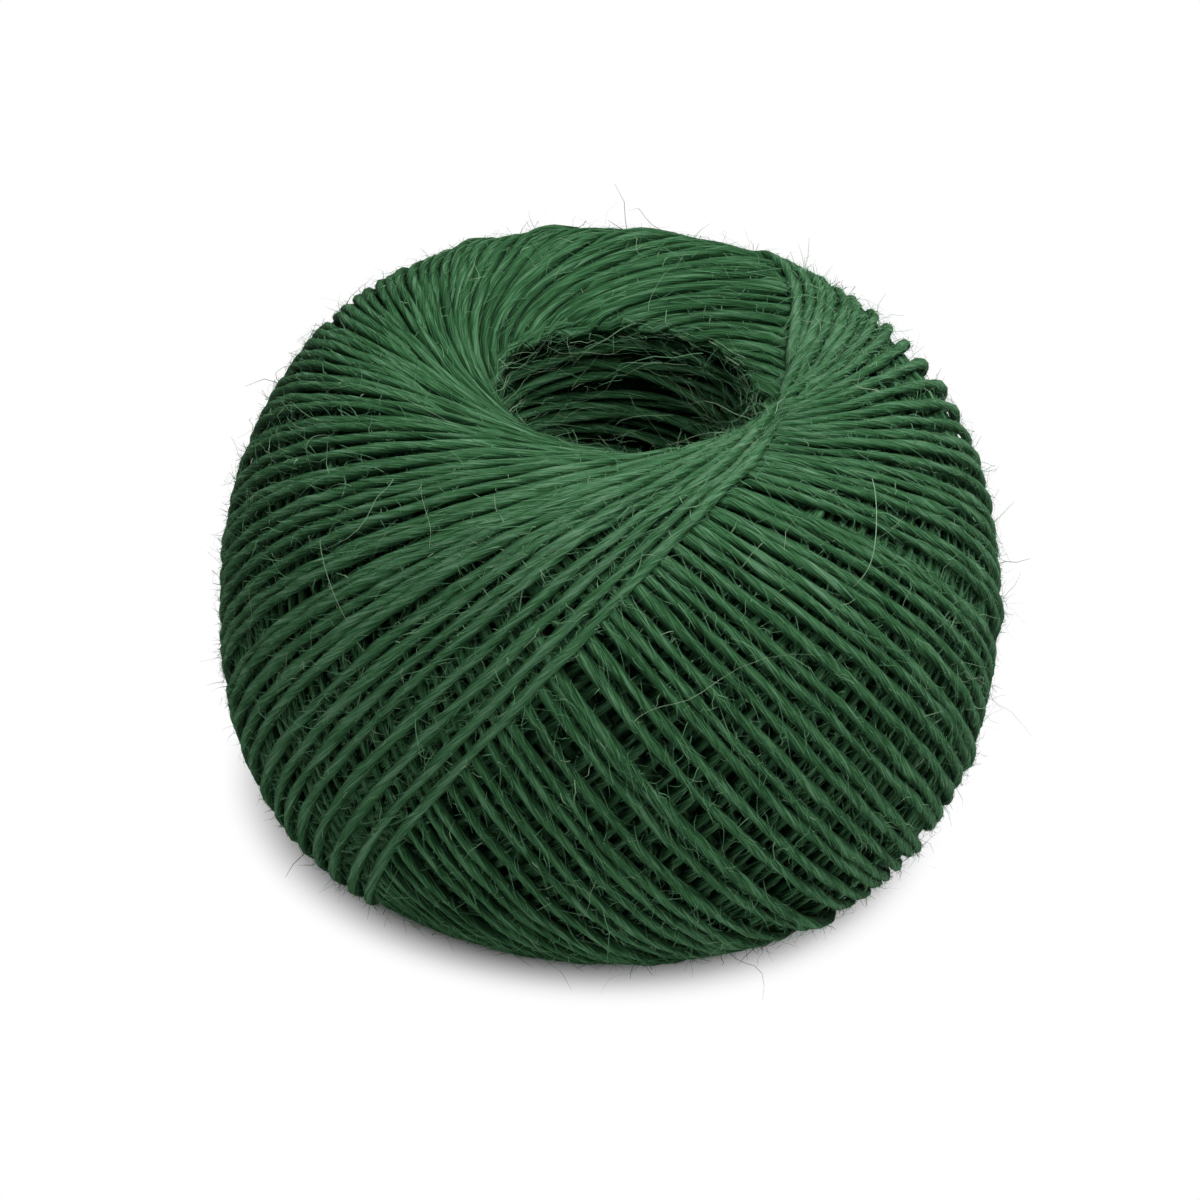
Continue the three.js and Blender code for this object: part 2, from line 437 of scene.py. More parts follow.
# %% The rise of the twine
RIDGE, BUMP, DIP = 0.75 * MM, 0.28 * MM, 0.32 * MM  # limits for the bundle, others, and inwards
RIDGE_LOOPS, RIDGE_REACH = 13, 62 * MM  # so many loops stand out as the bundle, and so far down
SHOWN_LOOPS, SHOWN_BLEND = LOOPS_PER_ROUND + 6, 3  # older loops than these lie buried
BURIED_DIP = 5 * MM
SINK, COVERED_SINK = 0.8 * MM, 0.7 * MM  # how deep crowded and covered loops are pushed
CROWD_FADE = 17 * MM  # how far out from the hole the loops are crowded
GOLDEN_STEP, SINK_BLEND = 0.382, 0.12


def rise_of(loop):
    """Place and azimuth, and how far the twine's middle lies from the outline, negative inside."""
    count = np.clip(loop.astype(int), 0, LOOPS - 1)
    share = (loop % 1) * SAMPLES
    left = np.clip(share.astype(int), 0, SAMPLES - 1)
    right = np.clip(left + 1, 0, SAMPLES - 1)
    blend = share - left
    height, layer = (table[count, left] * (1 - blend) + table[count, right] * blend
                     for table in (loop_heights, loop_layers))
    place, azimuth = loop_course(loop)
    rise = height + layer - between(full_height, place, azimuth) - TWINE_RADIUS

    age = LOOPS - loop
    bundle = np.exp(-(age / RIDGE_LOOPS) ** 2 - (place / RIDGE_REACH) ** 4)
    buried = soft_step((age - SHOWN_LOOPS) / SHOWN_BLEND)
    under = covered(place, azimuth, np.interp(loop % 1, loop_share, loop_turned))
    under = under + (1 - under) * buried
    ridge, dip = BUMP + (RIDGE - BUMP) * bundle, DIP + BURIED_DIP * under
    rise = np.where(rise > 0, ridge * np.tanh(rise / ridge), dip * np.tanh(rise / dip))

    turn_to_sink = count * GOLDEN_STEP % 1
    sunk = np.clip((crowding(loop, place) - turn_to_sink) / SINK_BLEND, 0, 1)
    crowd = np.exp(-(place / CROWD_FADE) ** 4)
    return place, azimuth, rise - SINK * sunk - COVERED_SINK * crowd * (under + buried)


rises = rise_of(np.linspace(LOOPS - SHOWN_LOOPS, LOOPS - 1, 5000))[2]
print("lowest, usual and highest rise, mm:", np.round(np.percentile(rises, [0, 50, 100]) / MM, 1))

# %% [markdown]
# ## Meshes from arrays
#
# Curves with a bevel could make the strands, but each would get the same round section. Meshes
# made from arrays can swell and thin like hand-fed fibre. Maps keep numbers for the finish at each
# corner, and each vertex may keep a tone, from dark to pale, which on some pieces also holds
# painted light and painted shade.

# %% Make a piece from arrays
BAKE_MAP = "OFBake"
LAY_MAP = "twine_lay"
REST_SOFT = 0.5 * MM  # below this height the ball is pressed by its own weight


def placed(name, data):
    made = bpy.data.objects.new(name, data)
    bpy.context.scene.collection.objects.link(made)
    return made


def new_piece(name, vertices, faces, maps, tones=None):
    """A smooth mesh object from arrays; maps are {name: (u, v) for each face corner}."""
    mesh = bpy.data.meshes.new(name)
    sides = faces.shape[1]
    mesh.vertices.add(len(vertices))
    mesh.vertices.foreach_set("co", vertices.astype(np.float32).ravel())
    mesh.loops.add(faces.size)
    mesh.loops.foreach_set("vertex_index", faces.astype(np.int32).ravel())
    mesh.polygons.add(len(faces))
    mesh.polygons.foreach_set("loop_start", np.arange(0, faces.size, sides, dtype=np.int32))
    mesh.update(calc_edges=True)
    mesh.polygons.foreach_set("use_smooth", np.ones(len(faces), bool))
    for map_name, corners in maps.items():
        layer = mesh.uv_layers.new(name=map_name, do_init=False)
        layer.uv.foreach_set("vector", corners.astype(np.float32).ravel())
    # On some pieces the tone also carries painted light and painted shade.
    if tones is not None:
        stored = mesh.attributes.new("tone", "FLOAT", "POINT")
        stored.data.foreach_set("value", tones.astype(np.float32))
    mesh.validate()
    piece = placed(name, mesh)
    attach(piece, "root")
    print(f"{name}: {len(faces) * (sides - 2)} triangles")
    return piece


def face_corners(across, along):
    """A map from the four corner positions of every face, first across and then along."""
    return np.stack([np.stack(corner, 1) for corner in zip(across, along)], 1)


def pressed_flat(points):
    """What would pass below the flat spot is squeezed up to it."""
    z = points[..., 2]
    pressed = REST_SOFT * np.exp(np.minimum(z / REST_SOFT - 1, 0))
    points[..., 2] = np.where(z < REST_SOFT, pressed, z)
    return points


# %% [markdown]
# ## Twine as a tube with plies
#
# A strand is a tube, a little flat where it lies, with two twisted plies, and uneven like spun
# fibre. Its map says how far round the strand and how far along each corner is, for the finish to
# follow. A second map, in strips that don't overlap, is for storing finished colours.

# %% Helpers for the twine
PLY_TWIST = 2 * math.pi / (22 * MM)
PLY_DEPTH, FIBRE_UNEVEN = 0.13, 0.05
WIDTH, WIDER = 1.04, 0.1  # half-width of a strand in its radius, and how much more at the hole
THICKNESS, THINNER = 0.92, 0.08
SLUB, FINE_SLUB = 0.14, 0.07  # how much the strand swells and thins
PALER_LOOPS = 18  # so many of the last loops are paler
STRIP_EDGE = 0.04  # free share on each side of a strip
slub, fine_slub = wandering(0.031, 3), wandering(0.009, 5)


def tube(middle, outward, sides, side_radius, height_radius, along):
    """Vertices, faces and maps of one open tube along middle; ends lie hidden in the ball."""
    tangent = unit(np.gradient(middle, axis=0))
    beside = unit(np.cross(outward, tangent))
    up = np.cross(tangent, beside)
    angle = np.linspace(0, 2 * math.pi, sides, endpoint=False)
    ply = 1 + PLY_DEPTH * np.cos(2 * (angle[None, :] - along[:, None] * PLY_TWIST))
    ply += rng.normal(0, FIBRE_UNEVEN, ply.shape)
    across = (side_radius[:, None] * np.cos(angle) * ply)[..., None] * beside[:, None, :]
    over = (height_radius[:, None] * np.sin(angle) * ply)[..., None] * up[:, None, :]
    vertices = middle[:, None, :] + across + over
    rows = len(middle)
    first = (np.arange(rows - 1)[:, None] * sides + np.arange(sides)).ravel()
    step = np.where((first + 1) % sides == 0, 1 - sides, 1)
    faces = np.stack([first, first + step, first + step + sides, first + sides], 1)
    near, far = np.repeat(along[:-1], sides), np.repeat(along[1:], sides)
    left = np.tile(np.arange(sides), rows - 1) / sides
    right = left + 1 / sides
    lay = face_corners((left, right, right, left), (near, near, far, far))
    return vertices.reshape(-1, 3), faces, lay


def in_strip(lay, strip, strips):
    return (strip + STRIP_EDGE + (1 - 2 * STRIP_EDGE) * lay[..., 0]) / strips


def wound_twine(name, first_loop, last_loop, steps_per_loop, sides):
    steps = int((last_loop - first_loop) * steps_per_loop)
    loops = np.linspace(first_loop, last_loop, steps + 1)
    place, azimuth, rise = rise_of(np.minimum(loops, LOOPS - 1e-6))
    swell = 1 + SLUB * slub(loops) + FINE_SLUB * fine_slub(loops)
    flat = np.exp(-(place / CROWD_FADE) ** 4)
    along = loops * LOOP_LENGTH
    vertices, faces, lay = tube(
        on_ball(place, azimuth, rise), outward_at(place, azimuth), sides,
        TWINE_RADIUS * (WIDTH + WIDER * flat) * swell,
        TWINE_RADIUS * (THICKNESS - THINNER * flat) * swell, along)
    distance = lay[..., 1] - along[0]
    strip = np.floor(distance[:, :1] / LOOP_LENGTH + 1e-9)
    reach = np.clip((distance - strip * LOOP_LENGTH) / LOOP_LENGTH, 0, 1)
    bake = np.stack([in_strip(lay, strip, strip.max() + 1), reach], -1)
    # The last loops are made paler.
    newest_paler = np.repeat(np.exp(-((LOOPS - loops) / PALER_LOOPS) ** 2), sides)
    maps = {LAY_MAP: lay / [1, MM], BAKE_MAP: bake}
    return new_piece(name, pressed_flat(vertices), faces, maps, newest_paler)


# %% [markdown]
# ## Wind the twine
#
# The loops that show get a fine tube, and older ones, which are only seen through the gaps, a
# coarser one. They are cut into four pieces, so that none of them is too heavy.

# %% Wind the twine
outer_start = LOOPS - SHOWN_LOOPS
last_start, under_start = LOOPS - 50, outer_start - 60
turns = [
    wound_twine("last_turns", last_start, LOOPS, steps_per_loop=160, sides=9),
    wound_twine("outer_turns", outer_start, last_start, steps_per_loop=160, sides=9),
    wound_twine("under_turns", under_start, outer_start, steps_per_loop=100, sides=6),
    wound_twine("inner_turns", 0, under_start, steps_per_loop=64, sides=5),
]
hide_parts("twine_ball")

# %% [markdown]
# ## The body behind the net
#
# Deeper rounds only show as dark fibre in the gaps, so one closed skin a few millimetres down
# stands for them, painted nearly black as painted shade. It is the same outline, moved inwards and
# turned about the spindle.

# %% The body skin
BODY_DEPTH = 3.4 * MM
WALL_DEPTH = 1.4 * MM


def body_skin(columns=160, outline_rows=70, wall_rows=14):
    picked = np.linspace(0, len(way) - 1, outline_rows).astype(int)
    ring_r = outline_r[picked] - BODY_DEPTH * out_r[picked]
    ring_z = outline_z[picked] - BODY_DEPTH * out_z[picked]
    wall_z = np.linspace(ring_z[-1], ring_z[0], wall_rows + 2)[1:-1]
    ring_r = np.concatenate([ring_r, np.full(wall_rows, HOLE_RADIUS + WALL_DEPTH)])
    ring_z = np.concatenate([ring_z, wall_z])
    azimuth = np.linspace(0, 2 * math.pi, columns, endpoint=False)
    vertices = round_spindle(ring_r[:, None], azimuth, ring_z[:, None] + MIDDLE_HEIGHT)
    row, column = np.indices((len(ring_r), columns))
    below, beside = (row + 1) % len(ring_r), (column + 1) % columns
    faces = np.stack([row * columns + column, below * columns + column,
                      below * columns + beside, row * columns + beside], -1)
    u, v = column.ravel() / columns, row.ravel() / len(ring_r)
    next_u, next_v = u + 1 / columns, v + 1 / len(ring_r)
    bake = face_corners((u, u, next_u, next_u), (v, next_v, next_v, v))
    return new_piece("body_skin", vertices.reshape(-1, 3), faces.reshape(-1, 4), {BAKE_MAP: bake})


body = body_skin()

# %% [markdown]
# ## The wall of the hole
#
# The spindle left a round hole. Its wall is the inside of the earliest loops: each one comes in
# nearly level, touches the hole for about a third of its round, and goes out into the ball again.

# %% Turns that line the hole
WALL_LEAVE = 2.6 * MM  # how far the ends of an arc go out into the ball
WALL_APART = 31 * MM  # of twine between one arc and the next, so that their streaks differ
# Painted light in the hole: the turns that line it are made a little paler.
WALL_PAINTED_LIGHT = 0.2


def wall_turns(rows=44, arcs_per_row=4, points=26, sides=5):
    made = []
    arcs = rows * arcs_per_row
    spread = np.linspace(-1, 1, points)
    for number in range(arcs):
        share = (number // arcs_per_row + rng.uniform(-0.4, 0.4)) / rows
        level = -BASE_THROAT + share * (BASE_THROAT + TOP_THROAT) + MIDDLE_HEIGHT
        half = math.radians(rng.uniform(55, 85))
        centre = 2 * math.pi * (number % arcs_per_row) / arcs_per_row + rng.uniform(-0.5, 0.5)
        azimuth = centre + half * spread
        slant = rng.choice([-1, 1]) * rng.uniform(1, 4) * MM
        outset = (0.2 + rng.uniform(0, 0.9)) * MM
        radius = HOLE_RADIUS + outset + WALL_LEAVE * np.abs(spread) ** 3
        height = level + slant * spread + rng.normal(0, 0.3 * MM)
        along = spread * half * HOLE_RADIUS + number * WALL_APART
        size = np.full(points, TWINE_RADIUS * rng.uniform(0.85, 1.1))
        vertices, faces, lay = tube(
            round_spindle(radius, azimuth, height), round_spindle(-1, azimuth, 0), sides,
            size, size * 0.85, along)
        reach = (lay[..., 1] - along[0]) / (along[-1] - along[0])
        bake = np.stack([in_strip(lay, number, arcs), reach], -1)
        made.append((vertices, faces + number * len(vertices), lay / [1, MM], bake))
    vertices, faces, lay, bake = (np.concatenate(arrays) for arrays in zip(*made))
    maps, tones = {LAY_MAP: lay, BAKE_MAP: bake}, np.full(len(vertices), WALL_PAINTED_LIGHT)
    return new_piece("hole_turns", pressed_flat(vertices), faces, maps, tones)


wall = wall_turns()

# %% [markdown]
# ## Loose fibres
#
# Natural twine is hairy: fibre ends cling along the strands, short fuzz stands up from them, and a
# few long hairs wander off. A hair system could grow them, but a mesh of thousands of narrow curved
# ribbons can go anywhere. They start only on strands near the surface, where they can be seen.

# %% Helpers for the fibres
FUZZY_SIDE = math.radians(15)  # this side of the ball has been handled and rubbed the most
SMOOTH_REACH = 27 * MM  # so far out from the hole the other side is smooth
TAPER = [0, 0.55, 1], [1, 0.9, 0.35]  # shares of the length and of the width


def exposed_spots(count, first_loop, depth, smooth_top=0.0):
    """Spots on twine at most depth down, fewer near the hole on the smooth side: their number
    and middles, and the directions along the twine, beside it and outwards."""
    loops = rng.uniform(first_loop, LOOPS - 0.01, count * 5)
    place, azimuth, rise = rise_of(loops)
    smooth_side = np.abs(np.sin((azimuth - FUZZY_SIDE) / 2))
    smooth = smooth_top * smooth_side * np.exp(-(place / SMOOTH_REACH) ** 6)
    kept = rng.random(len(loops)) > smooth
    loops = loops[kept & (rise > -depth)][:count]
    place, azimuth, rise = rise_of(loops)
    middle, outward = on_ball(place, azimuth, rise), outward_at(place, azimuth)
    tangent = unit(on_ball(*rise_of(loops + 1e-3)) - middle)
    return len(loops), middle, tangent, unit(np.cross(outward, tangent)), outward


def ribbons(name, paths, sides, widths, tones):
    """One mesh of tapered ribbons: paths is (fibre, point, xyz), sides is (fibre, xyz)."""
    fibres, points = paths.shape[:2]
    taper = np.interp(np.linspace(0, 1, points), *TAPER)
    offset = 0.5 * widths[:, None, None] * taper[None, :, None] * sides[:, None, :]
    vertices = np.stack([paths - offset, paths + offset], 2)
    base = (np.arange(fibres)[:, None] * points + np.arange(points - 1)).ravel() * 2
    faces = np.stack([base, base + 1, base + 3, base + 2], 1)
    side = int(math.ceil(math.sqrt(fibres)))
    cell = np.stack([np.arange(fibres) % side, np.arange(fibres) // side], 1) / side
    reach = np.arange(points) / (points - 1)
    corner = face_corners((0 * reach, 0 * reach + 1), (reach, reach))
    uv = cell[:, None, None, :] + (0.2 + 0.6 * corner[None]) / side
    bake = uv.reshape(-1, 2)[faces]
    tone = np.repeat(tones, points * 2)
    return new_piece(name, pressed_flat(vertices.reshape(-1, 3)), faces, {BAKE_MAP: bake}, tone)


def curved(start, direction, length, bend, points, curl=0.0):
    """Paths that leave start along direction and bend smoothly; curl adds a wavy wander."""
    t = np.linspace(0, 1, points)[None, :, None]
    wave = curl * np.sin(t * 9 + rng.uniform(0, 6, (len(start), 1, 3)))
    shape = direction[:, None] * t + bend[:, None] * t * t + wave * t
    return start[:, None] + length[:, None, None] * shape


def loose_ribbons(name, start, direction, length, bend, facing, points, curl, widths, tones):
    """Curved ribbons; widths (mm) and tones are each the lowest and the highest."""
    side = unit(np.cross(direction, facing))
    width = rng.uniform(*widths, len(start)) * MM
    paths = curved(start, direction, length, bend, points, curl)
    return ribbons(name, paths, side, width, rng.uniform(*tones, len(start)))


# %% [markdown]
# ## Fibres that cling along the twine
#
# Most fibre ends lie down along the strand and slant a little across it. They break up its clean
# edge and give it grain, so there are many of them, nearly flat on the skin of the tube.

# %% Clinging fibres
def clinging_fibres(name, count, first_loop, depth):
    count, middle, tangent, beside, outward = exposed_spots(count, first_loop, depth, 0.7)
    angle = np.radians(rng.normal(90, 36, (count, 1)))
    skin = unit(beside * np.cos(angle) + outward * np.sin(angle))
    on_side, on_top = 1.02 * beside * np.cos(angle), THICKNESS * outward * np.sin(angle)
    start = middle + TWINE_RADIUS * (on_side + on_top)
    way_on = rng.choice([-1, 1], (count, 1))
    across = np.cross(tangent, skin)
    slant, lift = rng.normal(0.24, 0.18, (count, 1)), rng.uniform(0, 0.26, (count, 1))
    direction = unit(way_on * tangent + slant * way_on * across + lift * skin)
    length = rng.uniform(1.2, 4.6, count) * MM
    bend = across * rng.normal(0, 0.22, (count, 1)) - skin * rng.uniform(0, 0.3, (count, 1))
    width = rng.uniform(0.035, 0.085, count) * MM
    # Painted shade: fibres on the flanks of the strand get a darker tone than those on its top.
    tone = rng.uniform(0.2, 1.1, count) * np.sin(angle[:, 0]).clip(0.1) ** 2
    return ribbons(name, curved(start, direction, length, bend, 4), across, width, tone)


cling = [
    clinging_fibres("clinging_fibres_a", 16000, first_loop=LOOPS - 100, depth=1.7 * MM),
    clinging_fibres("clinging_fibres_b", 10000, first_loop=LOOPS - 150, depth=3.2 * MM),
]

# %% [markdown]
# ## Short fuzz
#
# Short fibre ends stand up on every side of the strand. They are what makes the twine soft to the
# eye: they fill the gaps with a haze and hide the hard edge of the tubes.

# %% Short fuzz
def short_fuzz(name, count, first_loop, depth, smooth_top=0.75):
    count, middle, tangent, beside, outward = exposed_spots(count, first_loop, depth, smooth_top)
    angle = np.radians(rng.uniform(-10, 190, (count, 1)))
    skin = unit(beside * np.cos(angle) + outward * np.sin(angle))
    start = middle + 0.9 * TWINE_RADIUS * skin
    lean = rng.normal(0, 1, (count, 3))
    direction = unit(skin * rng.uniform(0, 0.6, (count, 1)) + lean * 0.6)
    length = rng.gamma(2.0, 0.5, count).clip(0.3, 3) * MM
    bend = rng.normal(0, 0.6, (count, 3)) - outward * rng.uniform(0.2, 1.1, (count, 1))
    facing = outward + rng.normal(0, 0.5, (count, 3))
    return loose_ribbons(name, start, direction, length, bend, facing, points=4, curl=0.14,
                         widths=(0.05, 0.095), tones=(0.2, 1.3))


fuzz = [
    short_fuzz("short_fuzz_a", 32000, first_loop=LOOPS - 94, depth=1.6 * MM),
    short_fuzz("short_fuzz_b", 18500, first_loop=LOOPS - 190, depth=3.6 * MM),
    short_fuzz("bundle_fuzz", 3000, first_loop=LOOPS - 8, depth=3 * MM, smooth_top=0),
]

# %% [markdown]
# ## Stray hairs
#
# Here and there a longer fibre has worked loose and wanders over the surface. A few hundred are
# enough, because the eye picks out each one, above all against the light ground.

# %% Stray hairs
def stray_hairs(name, count):
    count, middle, tangent, beside, outward = exposed_spots(count, LOOPS - 100, 1.2 * MM)
    start = middle + 0.8 * TWINE_RADIUS * outward
    along = tangent * rng.normal(0, 1, (count, 1)) + beside * rng.normal(0, 0.8, (count, 1))
    direction = unit(unit(along) + outward * rng.uniform(0, 0.4, (count, 1)))
    length = rng.gamma(3, 1.3, count).clip(1.5, 11) * MM
    bend = rng.normal(0, 0.4, (count, 3)) - outward * rng.uniform(0, 0.5, (count, 1))
    facing = rng.normal(0, 1, (count, 3))
    return loose_ribbons(name, start, direction, length, bend, facing, points=12, curl=0.09,
                         widths=(0.05, 0.09), tones=(0.7, 1.6))


strays = stray_hairs("stray_hairs", 330)

# %% [markdown]
# ## Fibres in and round the hole
#
# The spindle roughened the twine when it was pulled out, so fibres hang across the hole and curl
# round its rim. They start on the wall, follow it a little way and bend inwards.

# %% Fibres of the hole
RIM_SHARE = 0.13  # of these fibres sit on the rim and lie close to it
RIM_LOOSE, WALL_LOOSE = 0.12, 0.5


def hole_fibres(name, count):
    azimuth = rng.uniform(0, 2 * math.pi, count)
    height = MIDDLE_HEIGHT + rng.uniform(-0.9 * BASE_THROAT, TOP_THROAT + 3 * MM, count)
    rim = rng.random(count) < RIM_SHARE
    height = np.where(rim, MIDDLE_HEIGHT + TOP_THROAT + rng.uniform(-2, 3.2, count) * MM, height)
    radius = HOLE_RADIUS + rng.uniform(-0.5, 0.3, count) * MM
    start, inward = round_spindle(radius, azimuth, height), round_spindle(-1, azimuth, 0)
    round_way = np.stack([-np.sin(azimuth), np.cos(azimuth), 0 * azimuth], -1)
    round_way = round_way * rng.choice([-1, 1], (count, 1))
    loose = np.where(rim, RIM_LOOSE, WALL_LOOSE)[:, None]
    pull, scatter = rng.uniform(0, 1, (count, 1)), rng.normal(0, 0.8, (count, 3))
    direction = unit(round_way + inward * pull * loose + scatter * loose)
    length = rng.gamma(3, 1.6, count).clip(1.5, 13) * MM
    bend = inward * rng.uniform(0.1, 0.5, (count, 1)) + rng.normal(0, 0.25, (count, 3))
    facing = rng.normal(0, 1, (count, 3))
    return loose_ribbons(name, start, direction, length, bend, facing, points=9, curl=0.08,
                         widths=(0.03, 0.07), tones=(0.2, 1.5))


hole_hair = hole_fibres("hole_fibres", 1700)

# %% [markdown]
# ## Long pale hairs
#
# A few stiff fibres escaped from the twist and the dye. They stand clear of the surface, so each
# one is laid through a few given stops on the outside of the ball, and then smoothed.

# %% A few long pale hairs
HAIR_STEPS = 40
HAIR_CLEAR, HAIR_ARCH = 1.1, 0.9  # mm off the surface, and how much more at the hair's middle


def hair_through(stops):
    """A hair over the outside; each stop is millimetres from the hole's top, and degrees round."""
    stops = np.array(stops)
    share, even = np.linspace(0, 1, len(stops)), np.linspace(0, 1, HAIR_STEPS)
    place, azimuth = (smoothed(np.interp(even, share, stops[:, axis]), 4) for axis in (0, 1))
    lift = (HAIR_CLEAR + HAIR_ARCH * np.sin(math.pi * even)) * MM
    return on_ball(place * MM, np.radians(azimuth), lift)


hair_paths = np.stack([
    hair_through([(21, -35), (25, -41), (29.5, -46), (31, -50)]),
    hair_through([(24, -151.5), (25.5, -154), (27, -154), (28.5, -149)]),
    hair_through([(33, -141), (34.6, -137), (37.5, -132), (39.5, -129.5)]),
])
hair_run = hair_paths[:, -1] - hair_paths[:, 0]
hair_sides = unit(np.cross(hair_run, hair_paths[:, HAIR_STEPS // 2] - [0, 0, MIDDLE_HEIGHT]))
long_hairs = ribbons("long_hairs", hair_paths, hair_sides, np.full(3, 0.13 * MM), np.full(3, 1.3))

# %% [markdown]
# ## Dyed fibre
#
# The twine is soft and matt, and its look is in fine streaks that follow the twist of the fibres.
# A picture wrapped round it could show them, but nodes draw them sharp at any size, in the twine's
# own directions: how far round the strand and how far along. A short class makes the nodes, so that
# the lines below read like sums.

# %% Node helpers
class Nodes:
    """Short ways to add nodes to one tree; values may be numbers or the outputs of other nodes."""

    def __init__(self, tree):
        self.tree = tree

    def node(self, kind, **settings):
        made = self.tree.nodes.new(kind)
        for key, value in settings.items():
            setattr(made, key, value)
        return made

    def feed(self, socket, value):
        if isinstance(value, bpy.types.NodeSocket):
            self.tree.links.new(value, socket)
        else:
            socket.default_value = value

    def feed_all(self, inputs, **values):
        for name, value in values.items():
            self.feed(inputs[name.replace("_", " ")], value)

    def fed(self, made, *values):
        for socket, value in zip(made.inputs, values):
            self.feed(socket, value)
        return made.outputs[0]

    def math(self, operation, *values):
        return self.fed(self.node("ShaderNodeMath", operation=operation), *values)

    def added(self, first, second):
        return self.math("ADD", first, second)

    def times(self, first, second):
        return self.math("MULTIPLY", first, second)

    def combine(self, x, y, z):
        return self.fed(self.node("ShaderNodeCombineXYZ"), x, y, z)

    def ranged(self, value, low, high, new_low=0.0, new_high=1.0, kind="LINEAR"):
        made = self.node("ShaderNodeMapRange", interpolation_type=kind)
        return self.fed(made, value, low, high, new_low, new_high)

    def noise(self, vector, scale, detail=2.0, roughness=0.5):
        made = self.node("ShaderNodeTexNoise")
        self.feed_all(made.inputs, Vector=vector, Scale=scale, Detail=detail, Roughness=roughness)
        return made.outputs["Fac"]

    def mix(self, factor, first, second):
        made = self.node("ShaderNodeMix", data_type="RGBA")
        self.feed_all(made.inputs, Factor=factor, A=first, B=second)
        return made.outputs["Result"]

    def bump(self, height, distance):
        made = self.node("ShaderNodeBump")
        self.feed_all(made.inputs, Height=height, Distance=distance)
        return made.outputs[0]

    def object_place(self):
        return self.node("ShaderNodeTexCoord").outputs["Object"]

    def tone(self):
        return self.node("ShaderNodeAttribute", attribute_name="tone").outputs["Fac"]

    def group(self, made):
        return self.node("ShaderNodeGroup", node_tree=made).outputs


def shader_group(name, outputs):
    """A node group, its helper, and the sockets for its results."""
    group = bpy.data.node_groups.new(name, "ShaderNodeTree")
    for socket in outputs:
        group.interface.new_socket(socket, in_out="OUTPUT", socket_type="NodeSocketFloat")
    n = Nodes(group)
    return group, n, n.node("NodeGroupOutput").inputs


# %% [markdown]
# ## Streaks that follow the twist
#
# The way round the strand becomes a point on a circle, which hides the seam, and adding a little
# of the way along makes the streaks climb like the real twist. Thin creases part the bundles of
# fibre and are darkened as painted shade, and the flanks of a strand are painted darker than its
# top, as painted shade. Slow patches of dye are shared too.

# %% Streaks, painted shade and patches
def fibre_streaks_and_shade():
    group, n, out = shader_group("fibre_streaks_and_shade", ("Streaks", "Slub", "PaintedFlankShade"))
    parts = n.node("ShaderNodeSeparateXYZ")
    n.feed(parts.inputs[0], n.node("ShaderNodeUVMap", uv_map=LAY_MAP).outputs[0])
    around, along = parts.outputs[0], parts.outputs[1]
    climb = n.times(along, -PLY_TWIST * MM)
    angle = n.added(n.times(around, 2 * math.pi), climb)
    x, y = n.math("COSINE", angle), n.math("SINE", angle)
    coarse = n.noise(n.combine(x, y, n.times(along, 0.09)), 1.3, 2.0, 0.6)
    fine = n.noise(n.combine(x, y, n.times(along, 0.07)), 3.6, 3.0, 0.7)
    slub = n.noise(n.combine(n.times(along, 0.13), 3.7, 0.0), 1.0, 2.0, 0.5)
    # Painted shade: thin dark creases where the bundles of fibre part.
    crease_shade = n.ranged(n.math("ABSOLUTE", n.math("SUBTRACT", coarse, 0.5)), 0.0, 0.045)
    streaks = n.added(n.times(coarse, 0.35), n.times(fine, 0.65))
    streaks = n.times(n.ranged(streaks, 0.36, 0.64), n.ranged(crease_shade, 0.0, 1.0, 0.3, 1.0))
    n.feed(out["Streaks"], streaks)
    n.feed(out["Slub"], n.ranged(slub, 0.3, 0.7))
    # Painted shade: the flanks of each strand are made darker than its top.
    upward = n.math("SINE", n.times(around, 2 * math.pi))
    n.feed(out["PaintedFlankShade"], n.ranged(n.added(upward, n.times(fine, 0.4)), 0.75, 1.2, 1.0, 0.0))
    return group


def dye_patches():
    group, n, out = shader_group("dye_patches", ("Patch",))
    n.feed(out["Patch"], n.ranged(n.noise(n.object_place(), 90.0), 0.3, 0.7))
    return group


STREAKS_AND_SHADE, PATCHES = fibre_streaks_and_shade(), dye_patches()

# %% [markdown]
# ## The materials
#
# The twine goes from the dark green between fibres, partly painted shade in creases and on the
# flanks, through the dyed green, to pale fibre ends, and its last turns are a little paler. The
# turns that line the hole are painted a little paler as painted light. The loose fibres take their
# green from their own tone, which on the clinging fibres is painted darker on the flanks as painted
# shade.
# The body behind the net is painted nearly black, as painted shade.

# %% The materials
# SHADE is the dark end of the twine, where dark grain and painted shade in creases and on flanks
# lie.
SHADE, DYED, PALE = (0.013, 0.050, 0.018, 1), (0.057, 0.190, 0.072, 1), (0.172, 0.350, 0.204, 1)
FUZZ_DARK, FUZZ_LIGHT = (0.05, 0.16, 0.066, 1), (0.15, 0.34, 0.18, 1)
FUZZ_PALE, DEEP_PAINTED_SHADE = (0.36, 0.50, 0.32, 1), (0.008, 0.022, 0.011, 1)


def new_material(name, roughness, gloss=0.06):
    material = bpy.data.materials.new(name)
    material.use_nodes = True
    shader, n = material.node_tree.nodes["Principled BSDF"].inputs, Nodes(material.node_tree)
    n.feed_all(shader, Roughness=roughness, Specular_IOR_Level=gloss)
    return material, shader, n


